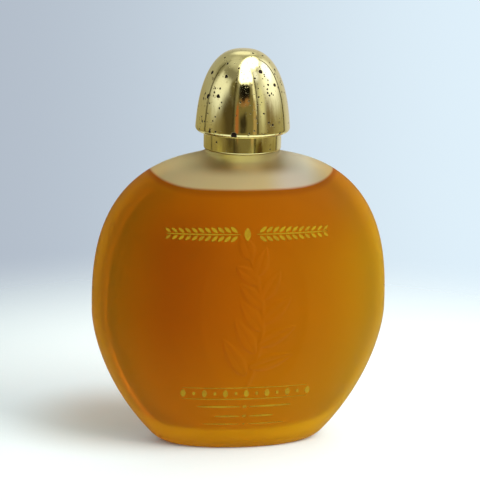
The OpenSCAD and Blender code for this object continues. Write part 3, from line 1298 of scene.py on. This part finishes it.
@dataclass
class PrintedBands:
    """Generic printed ornament on the front: a leaf garland above and thin rules below, in millimetres."""

    form: FlaskForm
    garland_z: float = 64.5
    garland_half: float = 22.4
    garland_leaf: float = 2.5
    lower_z: float = 18.5
    lower_half: float = 17.6
    lift: float = 0.03
    ink: float = 0.05
    stand_off: float = 22

    def leaf(self, x: float, z: float, length: float, width: float, angle: float) -> Piece:
        """One pointed leaf, drawn flat in front of the flask.

        Args:
            x: Place of its middle across.
            z: Height of its middle.
            length: Its length.
            width: Its width.
            angle: Lean from upright, in degrees.

        Returns:
            The leaf, standing off in front of the flask's middle plane.
        """
        Bench.clear()
        bpy.ops.mesh.primitive_circle_add(vertices=12, radius=MM / 2, fill_type="TRIFAN")
        piece = bpy.context.object
        Bench.open()
        bpy.ops.transform.resize(value=(width, length, 1), center_override=(0, 0, 0))
        mesh = bmesh.from_edit_mesh(piece.data)
        for vert in mesh.verts:
            share = abs(vert.co.y) / (length * MM / 2)
            vert.co.x *= 1 - 0.45 * share ** 2
        turned = math.radians(angle)
        cos, sin = math.cos(turned), math.sin(turned)
        for vert in mesh.verts:
            u, v = vert.co.x, vert.co.y
            vert.co = (x * MM + u * cos + v * sin, -self.stand_off * MM, z * MM - u * sin + v * cos)
        bmesh.update_edit_mesh(piece.data)
        Bench.clear()
        return piece

    def rule(self, x0: float, x1: float, z: float, width: float) -> Piece:
        """A thin level rule that tapers to both ends.

        Args:
            x0: Left end.
            x1: Right end.
            z: Height of its middle.
            width: Its width in the middle.

        Returns:
            The rule, standing off in front of the flask's middle plane.
        """
        Bench.clear()
        steps = max(int(abs(x1 - x0) / 0.8), 4)
        bpy.ops.mesh.primitive_grid_add(x_subdivisions=steps, y_subdivisions=1, size=2 * MM)
        piece = bpy.context.object
        bpy.ops.object.mode_set(mode="EDIT")
        mesh = bmesh.from_edit_mesh(piece.data)
        for vert in mesh.verts:
            share = vert.co.x / MM
            half = width / 2 * (0.35 + 0.65 * math.sqrt(max(1 - abs(share), 0)))
            vert.co = ((x0 + x1 + (x1 - x0) * share) / 2 * MM, -self.stand_off * MM,
                       (z + math.copysign(half, vert.co.y)) * MM)
        bmesh.update_edit_mesh(piece.data)
        Bench.clear()
        return piece

    def berry(self, x: float, z: float, radius: float) -> Piece:
        """A small round berry."""
        return self.leaf(x, z, radius * 2, radius * 2.6, 0)

    def settle(self, parts: list[Piece], name: str, flask: Piece,
               finish: Material) -> Piece:
        """Joins the parts of one print, lays them on the glass and gives them their thickness.

        Args:
            parts: Flat parts in front of the flask.
            name: Name of the print.
            flask: The glass that it lies on.
            finish: The ink.

        Returns:
            The print.
        """
        piece = Bench.join(parts)
        piece.name = piece.data.name = name
        Bench.apply(piece, "SHRINKWRAP", target=flask, wrap_method="PROJECT", use_project_y=True,
                    use_positive_direction=True, use_negative_direction=False)
        Bench.open()
        bpy.ops.transform.translate(value=(0, -self.lift * MM, 0))
        bpy.ops.object.mode_set(mode="OBJECT")
        mesh = bmesh.new()
        mesh.from_mesh(piece.data)
        for face in mesh.faces:
            if face.normal.y > 0:
                face.normal_flip()
        mesh.to_mesh(piece.data)
        mesh.free()
        Bench.apply(piece, "SOLIDIFY", thickness=self.ink * MM, offset=1.0)
        piece.data.materials.append(finish)
        Bench.smooth(piece, 50)
        return piece

    def garland(self) -> list[Piece]:
        """Two leafy twigs that run out from a lozenge in the middle.

        Returns:
            The pieces of print.
        """
        parts = [self.leaf(-0.3, self.garland_z, 3.6, 1.9, 0)]
        count = 11
        step = (self.garland_half - 4.6) / (count - 1)
        for side in (-1, 1):
            parts.append(self.rule(side * 2.2, side * self.garland_half, self.garland_z, 0.42))
            for n in range(count):
                x = side * (3.4 + (self.garland_half - 4.6) * n / (count - 1))
                size = 1 - 0.028 * n
                for up, angle in ((-1, 180 - side * 50), (1, side * 50)):
                    parts.append(self.leaf(x + side * 0.6, self.garland_z + up * 1.25 * size,
                                           self.garland_leaf * size, 1.05 * size, angle))
                if n < count - 1:
                    parts.append(self.berry(x + side * step * 0.62, self.garland_z + (1.7 if n % 2 else -1.7) * size,
                                           0.27))
        return parts

    def lower_rules(self) -> list[Piece]:
        """Lozenge band with a graded set of thin rules under it.

        Returns:
            The pieces of print.
        """
        parts = []
        count = 13
        for n in range(count):
            x = -self.lower_half + 2 * self.lower_half * n / (count - 1)
            big = n % 2 == 0
            parts.append(self.leaf(x + 0.3, self.lower_z, 2.5 if big else 1.2, 1.5 if big else 0.9, 0))
        for up in (1.75, -1.75):
            parts.append(self.rule(-self.lower_half, self.lower_half, self.lower_z + up, 0.28))
        for z, half, width in ((14.3, 13.2, 0.6), (11.2, 8.2, 0.6), (8.6, 11.5, 0.35)):
            parts.append(self.rule(-half, -1.4, z, width))
            parts.append(self.rule(1.4, half, z, width))
            parts.append(self.berry(0, z, width * 0.8))
        return parts

    def build(self, flask: Piece, finish: Material) -> list[Piece]:
        """Builds both prints on the glass.

        Args:
            flask: The glass that they lie on.
            finish: The ink.

        Returns:
            The two prints.
        """
        return [self.settle(self.garland(), "print_garland", flask, finish),
                self.settle(self.lower_rules(), "print_rules", flask, finish)]


@dataclass
class Closure:
    """Cap shell, its insert's thread, liner, collar and pour plug."""

    cap: CapForm
    flask: FlaskForm
    segments: int = 192
    collar_r: float = 10.8
    collar_h: float = 6.2
    skin: float = 0.45
    plug_flange_r: float = 7.4
    plug_flange_h: float = 0.9
    plug_stem_r: float = 4.83
    plug_ring_r: float = 4.98
    plug_stem_h: float = 7
    plug_wall: float = 1
    plug_cup: float = 2
    orifice_r: float = 2.4
    liner_h: float = 1.2
    insert_bore_r: float = 9.0

    def finish_turned(self, name: str, points: Sequence[Point], material: Material,
                      angle: float) -> Piece:
        """Turns a profile, closes it and dresses it.

        Args:
            name: Name of the piece.
            points: Its profile.
            material: Its finish.
            angle: Sharpest edge that is shaded smooth, in degrees.

        Returns:
            The finished piece.
        """
        piece = Bench.turn(name, points, self.segments)
        Bench.clear()
        piece.data.materials.append(material)
        Bench.smooth(piece, angle)
        return piece

    def shell(self, material: Material) -> Piece:
        """Domed shell with a rolled rim and a hem behind it.

        Args:
            material: Its finish.

        Returns:
            The finished piece.
        """
        cap = self.cap
        base = cap.rim_z + cap.rim_r
        rise = cap.height - cap.rim_r
        levels = [rise * math.sin(math.radians(90 * n / 64)) for n in range(65)]
        dome = [(cap.dome(h, cap.radius, rise), base + h) for h in reversed(levels)]
        dome[0] = (0.0, base + rise)
        rim = arc((cap.radius - cap.rim_r, base), cap.rim_r, 0, -90, 16)[1:]
        hem = cap.radius - cap.rim_r - cap.wall / 2
        hem_top = cap.rim_z + cap.hem_h
        inside_r, inside_rise = cap.radius - cap.wall, rise - cap.wall
        inner = [(hem + 0.12, cap.rim_z + 0.02), (hem, cap.rim_z + 0.14), (hem, hem_top - 0.1),
                 (hem + 0.1, hem_top), (cap.dome(hem_top - base, inside_r, inside_rise), hem_top)]
        heights = [inside_rise * math.sin(math.radians(90 * n / 32)) for n in range(1, 33)]
        inner += [(cap.dome(h, inside_r, inside_rise), base + h) for h in heights if base + h > hem_top + 0.1]
        inner[-1] = (0.0, base + inside_rise)
        return self.finish_turned("cap_dome", dome + rim + inner, material, 50)

    def collar(self, material: Material) -> Piece:
        """Drawn metal collar with softly rolled corners.

        Args:
            material: Its finish.

        Returns:
            The finished piece.
        """
        foot = self.flask.crown_z + self.flask.seat_rise
        top = foot + self.collar_h
        turn_in = self.flask.neck_r + self.flask.bead_edge + 0.03
        r, skin, corner = self.collar_r, self.skin, 0.5
        outer = [(turn_in, foot)] + arc((r - corner, foot + corner), corner, -90, 0, 8)
        outer += arc((r - corner, top - corner), corner, 0, 90, 8) + [(turn_in, top)]
        inner = [(turn_in, top - skin), (r - skin, top - skin), (r - skin, foot + skin), (turn_in, foot + skin),
                 (turn_in, foot)]
        return self.finish_turned("collar_ring", outer + inner, material, 50)

    def plug(self, material: Material) -> Piece:
        """Soft pour plug with grip rings, a pouring cup and a drip edge.

        Args:
            material: Its finish.

        Returns:
            The finished piece.
        """
        lip = self.flask.crown_z + self.flask.neck_h
        top = lip + self.plug_flange_h
        cup_r = self.plug_stem_r - self.plug_wall
        floor_top = top - self.plug_cup
        floor = floor_top - self.plug_wall
        edge = self.plug_flange_r
        points = [(self.orifice_r, floor + 0.15), (self.orifice_r, floor_top - 0.1), (self.orifice_r + 0.1, floor_top),
                  (cup_r - 0.3, floor_top), (cup_r, floor_top + 0.3), (cup_r, top - 0.15), (cup_r + 0.15, top),
                  (edge - 0.25, top), (edge, top - 0.25), (edge, lip + 0.15), (edge - 0.15, lip),
                  (self.plug_stem_r, lip)]
        pitch = self.plug_stem_h / 4
        for n in (1, 2, 3):
            z = lip - n * pitch
            points += [(self.plug_stem_r, z + pitch / 2 + 0.08), (self.plug_ring_r, z + pitch / 2),
                       (self.plug_stem_r, z)]
        foot = lip - self.plug_stem_h
        points += [(self.plug_stem_r, foot + 0.2), (self.plug_stem_r - 0.2, foot), (cup_r + 0.1, foot),
                   (cup_r, foot + 0.1), (cup_r, floor - 0.2), (cup_r - 0.2, floor), (self.orifice_r + 0.15, floor),
                   (self.orifice_r, floor + 0.15)]
        return self.finish_turned("plug_pourer", points, material, 40)

    def liner(self, material: Material) -> Piece:
        """Foam disc with the plug's ring pressed into its face.

        Args:
            material: Its finish.

        Returns:
            The finished piece.
        """
        low = self.flask.crown_z + self.flask.neck_h + self.plug_flange_h
        top = low + self.liner_h
        r = self.insert_bore_r - 0.2
        points = [(0, low + 0.04), (3.6, low + 0.04), (4.1, low + 0.1), (7.2, low + 0.1), (7.55, low),
                  (r - 0.25, low), (r, low + 0.25), (r, top - 0.25), (r - 0.25, top), (r * 0.5, top), (0, top)]
        return self.finish_turned("liner_wad", points, material, 30)

    def insert_thread(self, material: Material) -> Piece:
        """Thread ridge inside the cap's insert.

        Args:
            material: Its finish.

        Returns:
            The finished piece.
        """
        ridge = ThreadRidge(root_r=self.insert_bore_r + 0.08, crest_r=8.15, foot_z=94.4, turns=1.5, base=1.5)
        piece = ridge.build("insert_thread")
        piece.data.materials.append(material)
        return piece


# ---------------------------------------------------------------- surroundings


@dataclass(frozen=True)
class Panel:
    """One soft light or dark patch of the tent, placed by bearing and rise in degrees."""

    turn: float
    rise: float
    wide: float
    tall: float
    colour: Spot
    soft: float = 0.5
    share: float = 1.0
    square: float = 2.0


@dataclass
class Studio:
    """Pale floor, light tent, lamp and camera.

    The tent gives the camera, mirror rays, rays through glass and diffuse light a look of their own each.
    """

    floor_r: float = 0.42
    fade: tuple[float, float] = (0.08, 0.23)
    # Place and reach of the painted warm shadow on the floor, in metres.
    painted_shadow_at: Spot = (-0.034, 0.020, 0.0)
    painted_shadow_reach: tuple[float, float] = (0.038, 0.004)
    lamp_at: Spot = (0.34, -0.232, 0.371)
    lamp_size: float = 0.33
    lamp_power: float = 2.45
    lamp_tint: Spot = (1.0, 1.0, 0.96)
    camera_at: Spot = (-0.0646, -0.4583, 0.17354)
    aim: Spot = (0.0, 0.0, 0.05634)
    roll: float = 0.018
    focal_px: float = 1688.8
    frame_w: float = 480
    frame_h: float = 500
    centre_px: tuple[float, float] = (240.39, 249.05)
    seams: tuple[float, ...] = (-112.0, -31.5, 29.5, 113.0)
    panels: tuple[Panel, ...] = (
        Panel(0, -17, 200, 7, (0.30, 0.25, 0.11), 0.3, square=4),
        Panel(0, -17, 62, 8, (0.17, 0.13, 0.035), 0.35, square=4),
        Panel(-24, -17, 12, 8, (0.085, 0.06, 0.028), 0.4),
        Panel(20, -17, 11, 8, (0.44, 0.42, 0.21), 0.4),
        Panel(46, -17, 8, 8, (0.08, 0.045, 0.01), 0.4),
        Panel(-78, -17, 10, 8, (0.42, 0.37, 0.14), 0.4),
        Panel(-76, 22, 31, 17, (1.0, 1.03, 1.12), 0.6),
        Panel(-36, 28, 13, 12, (0.16, 0.14, 0.07), 0.4),
        Panel(-45, 3, 21, 19, (0.08, 0.058, 0.024)),
        Panel(-68, -5, 16, 10, (0.20, 0.155, 0.065), share=0.7),
        Panel(-62, 45, 34, 9, (0.24, 0.23, 0.19)),
        Panel(-112, 36, 13, 16, (0.26, 0.25, 0.2)),
        Panel(-95, 74, 70, 15, (0.62, 0.61, 0.56)),
        Panel(0, 6, 29, 27, (0.20, 0.165, 0.075), 0.25),
        Panel(43, 15, 8, 14, (0.75, 0.74, 0.58)),
        Panel(64, 3, 10, 13, (0.17, 0.115, 0.055)),
        Panel(70, -2, 18, 10, (0.26, 0.21, 0.11), share=0.6),
        Panel(92, 31, 38, 23, (1.4, 1.42, 1.6)),
        Panel(93, 36, 17, 12, (1.6, 1.7, 3.0), 0.5),
        Panel(40, 44, 11, 9, (1.1, 1.15, 1.5), 0.5),
        Panel(150, 2, 32, 40, (0.66, 0.63, 0.58)),
        Panel(172, 52, 25, 14, (1.1, 1.1, 1.05)),
        Panel(26, 24, 6, 20, (1.0, 0.98, 0.88), 0.3),
        Panel(22, 2, 4, 16, (0.46, 0.33, 0.16), 0.3),
        Panel(-22, 3, 4, 11, (0.42, 0.15, 0.05), 0.3),
        Panel(-3, 16, 13, 3.5, (0.42, 0.20, 0.09), 0.3, 0.8),
        Panel(-7, 2, 9, 5.5, (0.03, 0.022, 0.01), 0.45, 0.95),
        Panel(-4, 26, 16, 8.5, (0.008, 0.006, 0.004), 0.2, square=4),
        Panel(1, 51, 26, 16, (3.2, 3.2, 3.1), 0.15, square=4),
        Panel(50, 72, 82, 18, (3.0, 3.0, 2.9), 0.2, square=4),
    )

    def stand(self, name: str, data: bpy.types.ID, at: Spot) -> Piece:
        """Stands a camera or a lamp so that it looks at the flask.

        Args:
            name: Name of the object.
            data: The camera or the light.
            at: Its place, in metres.

        Returns:
            The object.
        """
        made = bpy.data.objects.new(name, data)
        bpy.context.scene.collection.objects.link(made)
        made.location = at
        made.rotation_mode = "QUATERNION"
        made.rotation_quaternion = (Vector(at) - Vector(self.aim)).to_track_quat("Z", "Y")
        return made

    def camera(self) -> None:
        """Stands the camera where it sees the front from slightly above and to the left."""
        data = bpy.data.cameras.new("view")
        camera = self.stand("view", data, self.camera_at)
        camera.rotation_mode = "XYZ"
        camera.rotation_euler.rotate_axis("Z", self.roll)
        long_side = max(self.frame_w, self.frame_h)
        data.sensor_width = 36
        data.lens = self.focal_px * data.sensor_width / long_side
        data.shift_x = (self.frame_w / 2 - self.centre_px[0]) / long_side
        data.shift_y = (self.centre_px[1] - self.frame_h / 2) / long_side
        data.clip_start, data.clip_end = 0.01, 10
        bpy.context.scene.camera = camera

    def floor(self) -> None:
        """Lays a pale round sheet with a painted warm shadow left of the flask; it fades softly into the backdrop."""
        Bench.clear()
        bpy.ops.mesh.primitive_circle_add(vertices=96, radius=self.floor_r, fill_type="NGON", location=(0, 0, 0))
        sheet = bpy.context.object
        sheet.name = sheet.data.name = "floor"
        Bench.open()
        bpy.ops.mesh.inset(thickness=0.1)
        bpy.ops.object.mode_set(mode="OBJECT")
        material = bpy.data.materials.new("pale_paper")
        material.use_nodes = True
        graph = Graph(material.node_tree)
        here = graph.here()
        pale = graph.mix(graph.noise(here, 900.0), (0.88, 0.92, 0.91, 1), (0.92, 0.95, 0.94, 1))
        # Painted shadow: a warm darker patch on the paper left of and behind the flask.
        painted_shadow = graph.ease(graph.distance(here, self.painted_shadow_at), *self.painted_shadow_reach)
        paper = graph.node("BsdfPrincipled", {
            "Base Color": graph.mix(painted_shadow, pale, (0.66, 0.60, 0.51, 1)),
            "Roughness": 0.8, "Specular IOR Level": 0.15})
        clear = graph.node("BsdfTransparent")
        output = graph.node("OutputMaterial")
        blend = graph.node("MixShader", {0: graph.ease(graph.off_axis(here), *self.fade),
                                         1: paper.outputs[0], 2: clear.outputs[0]})
        graph.link(blend.outputs[0], output.inputs[0])
        sheet.data.materials.append(material)

    def tent(self, graph: Graph, ray: Socket) -> Socket:
        """Light tent as polished metal sees it: soft panels, thin dark seams and a dark front opening.

        Args:
            graph: The world's graph.
            ray: Direction of the ray.

        Returns:
            Colour of the tent in that direction.
        """
        x, y, z = graph.axes(ray)
        turn = graph.product(graph.math("ARCTAN2", x, graph.product(y, -1.0)), 180 / math.pi)
        rise = graph.product(graph.math("ARCSINE", z), 180 / math.pi)
        ragged = graph.less(graph.noise(ray, 9.0, 4.0, 0.65), 0.5)
        creased = graph.total(turn, graph.product(ragged, 7.0))
        frayed = graph.total(rise, graph.product(ragged, 11.0))
        colour = graph.mix(graph.ease(rise, -8, 12), (0.37, 0.32, 0.17, 1), (0.42, 0.41, 0.36, 1))
        for panel in self.panels:
            gap = graph.node("Math", {0: graph.less(creased, panel.turn), 1: 180.0, 2: -180.0},
                             operation="WRAP").outputs[0]
            across = graph.product(gap, 1 / panel.wide)
            up = graph.product(graph.less(frayed, panel.rise), 1 / panel.tall)
            powers = [graph.math("POWER", graph.size(part), panel.square) for part in (across, up)]
            reach = graph.math("POWER", graph.total(*powers), 1 / panel.square)
            mask = graph.ease(reach, 1 + panel.soft, 1 - panel.soft)
            colour = graph.mix(graph.product(mask, panel.share), colour, (*panel.colour, 1))
        line: Value = 0.0
        for seam in self.seams:
            line = graph.math("MAXIMUM", line, graph.ease(graph.size(graph.less(turn, seam)), 3.6, 1.4))
        shut = graph.ease(rise, 64, 40, 0.15, 0.9)
        return graph.mix(graph.product(line, shut), colour, (0.05, 0.04, 0.015, 1))

    def world(self) -> None:
        """Builds the backdrop, the soft light and what the metal mirrors."""
        world = bpy.data.worlds.new("light_tent")
        bpy.context.scene.world = world
        world.use_nodes = True
        graph = Graph(world.node_tree)
        ray = graph.node("TexCoord").outputs["Generated"]
        x, _, z = graph.axes(ray)
        side = graph.ease(x, -0.03, 0.30)
        backdrop = graph.mix(side, (0.45, 0.51, 0.59, 1), (0.745, 0.88, 0.97, 1))
        low = graph.ease(z, -0.255, -0.335)
        near = graph.mix(side, (0.47, 0.60, 0.61, 1), (1.1, 1.12, 1.1, 1))
        backdrop = graph.mix(low, backdrop, near)
        path = graph.node("LightPath")
        round_about = graph.ease(x, -0.9, 0.9)
        passed = graph.mix(round_about, (0.52, 0.54, 0.52, 1), (1.58, 1.74, 1.30, 1))
        passed = graph.mix(graph.ease(z, 0.0, 0.8, 0.0, 0.7), passed, (2.0, 2.0, 1.8, 1))
        lights = graph.mix(round_about, (0.60, 0.70, 0.72, 1), (0.98, 1.0, 0.98, 1))
        colour = graph.mix(path.outputs["Is Camera Ray"], lights, backdrop)
        colour = graph.mix(path.outputs["Is Glossy Ray"], colour, self.tent(graph, ray))
        colour = graph.mix(path.outputs["Is Transmission Ray"], colour, passed)
        background = graph.node("Background", {"Color": colour, "Strength": 1.0})
        output = graph.node("OutputWorld")
        graph.link(background.outputs[0], output.inputs[0])

    def lamp(self) -> None:
        """Hangs one soft square lamp that points at the flask and isn't mirrored itself."""
        data = bpy.data.lights.new("key_lamp", "AREA")
        data.size = self.lamp_size
        data.energy = self.lamp_power
        data.color = self.lamp_tint
        lamp = self.stand("key_lamp", data, self.lamp_at)
        lamp.visible_glossy = False
        lamp.visible_camera = False

    def build(self) -> None:
        """Sets up everything round the flask."""
        bpy.context.scene.view_settings.view_transform = "Standard"
        bpy.context.scene.view_settings.look = "None"
        self.camera()
        self.floor()
        self.world()
        self.lamp()


# ---------------------------------------------------------------- whole flask


def dress_nodes(finishes: dict[str, Material]) -> None:
    """Gives the frame nodes that stay their finishes.

    Args:
        finishes: Finish for each node, by the name of the node.
    """
    for name, material in finishes.items():
        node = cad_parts[name]
        node.data.materials.clear()
        node.data.materials.append(material)
        LOG.info("%s keeps its frame mesh", name)


PIT_MARKS: tuple[Spot, ...] = (
    (-71, 107.0, 0.38), (-43, 109.8, 0.24), (-60, 111.1, 0.21), (26, 112.4, 0.24), (-52, 112.4, 0.12),
    (54, 111.6, 0.19), (-36, 106.6, 0.35), (-70, 101.4, 0.21), (-62, 100.8, 0.38), (-72, 100.0, 0.24),
    (-43, 101.3, 0.38), (-42, 103.3, 0.19), (-37, 99.8, 0.17), (-39, 98.2, 0.21), (-56, 99.2, 0.19),
    (-69, 95.1, 0.19), (-67, 93.9, 0.24), (-44, 95.8, 0.17), (-47, 94.5, 0.17), (-57, 96.4, 0.17),
    (-51, 91.5, 0.28), (-42, 91.8, 0.24), (-18, 91.3, 0.58), (22, 107.9, 0.42), (28, 107.1, 0.14),
    (28, 106.7, 0.14), (23, 106.1, 0.14), (61, 107.9, 0.28), (54, 107.0, 0.21), (65, 103.8, 0.19),
    (32, 105.6, 0.17), (31, 104.5, 0.21), (44, 104.2, 0.35), (28, 103.4, 0.17), (27, 102.4, 0.21),
    (30, 101.7, 0.21), (34, 102.2, 0.17), (37, 101.7, 0.14), (23, 104.1, 0.14), (14, 103.7, 0.14),
    (13, 101.5, 0.17), (10, 106.3, 0.19), (19, 97.1, 0.19), (31, 93.8, 0.24), (67, 93.3, 0.17),
    (59, 100.5, 0.12), (0, 91.9, 0.17), (6, 92.5, 0.17), (124, 104.0, 0.34), (163, 98.0, 0.28),
    (-143, 107.5, 0.36), (98, 94.0, 0.24), (-118, 96.5, 0.24), (178, 109.0, 0.26), (140, 92.2, 0.36),
)


def main() -> None:
    """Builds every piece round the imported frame."""
    logging.basicConfig(level=logging.INFO, format="%(name)s: %(message)s")
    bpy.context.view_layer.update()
    Studio().build()
    effects = Effects()
    form = FlaskForm()
    etched = GlassFinish("etched_glass").build(effects)
    plain = {"steeped": (0.97, 0.95, 0.88, 1), "deep": (0.95, 0.92, 0.83, 1), "edge": (0.96, 0.93, 0.86, 1),
             "sheen": (1, 1, 1, 1), "veil": 0.0, "painted_shade_strength": 0.0, "polish": 0.06, "spread": 0.03, "grain_depth": 0.002 * MM}
    inner = GlassFinish("inner_glass", index=1.12, **plain).build(effects)
    clear = GlassFinish("clear_glass", index=1.5, **plain).build(effects)
    amber = LotionFinish("amber_lotion").build(effects)
    cap_gold = GoldFinish("cap_gold", marks=PIT_MARKS).build(effects)
    collar_gold = GoldFinish("collar_gold", cover=0.10).build(effects)
    ink = PrintFinish("gold_ink").build(effects)
    plug_plastic = PlasticFinish("plug_plastic", colour=(0.90, 0.89, 0.83, 1), scatter=0.4).build(effects)
    insert_plastic = PlasticFinish("insert_plastic").build(effects)
    foam = FoamFinish("liner_foam").build(effects)

    glass = GlassFlask(form, Relief())
    flask = glass.build_glass(etched, inner, clear)
    place(flask, Body.BOTTLE, Slot.GLASS, "glass_flask")
    place(glass.build_thread(clear), Body.BOTTLE, Slot.GLASS)
    place(glass.build_lotion(amber), Body.BOTTLE, Slot.LOTION, "lotion")
    for band in PrintedBands(form).build(flask, ink):
        place(band, Body.BOTTLE, Slot.GOLD)

    closure = Closure(CapForm(), form)
    place(closure.collar(collar_gold), Body.BOTTLE, Slot.GOLD, "collar_skin")
    place(closure.plug(plug_plastic), Body.BOTTLE, Slot.PLUG, "pour_plug")
    place(closure.liner(foam), Body.LINER, Slot.LINER, "cap_liner")
    place(closure.shell(cap_gold), Body.CAP, Slot.GOLD, "cap_shell")
    place(closure.insert_thread(insert_plastic), Body.CAP, Slot.INSERT)
    dress_nodes({"collar_sleeve": insert_plastic, "cap_insert": insert_plastic})


if __name__ == "__main__":
    main()
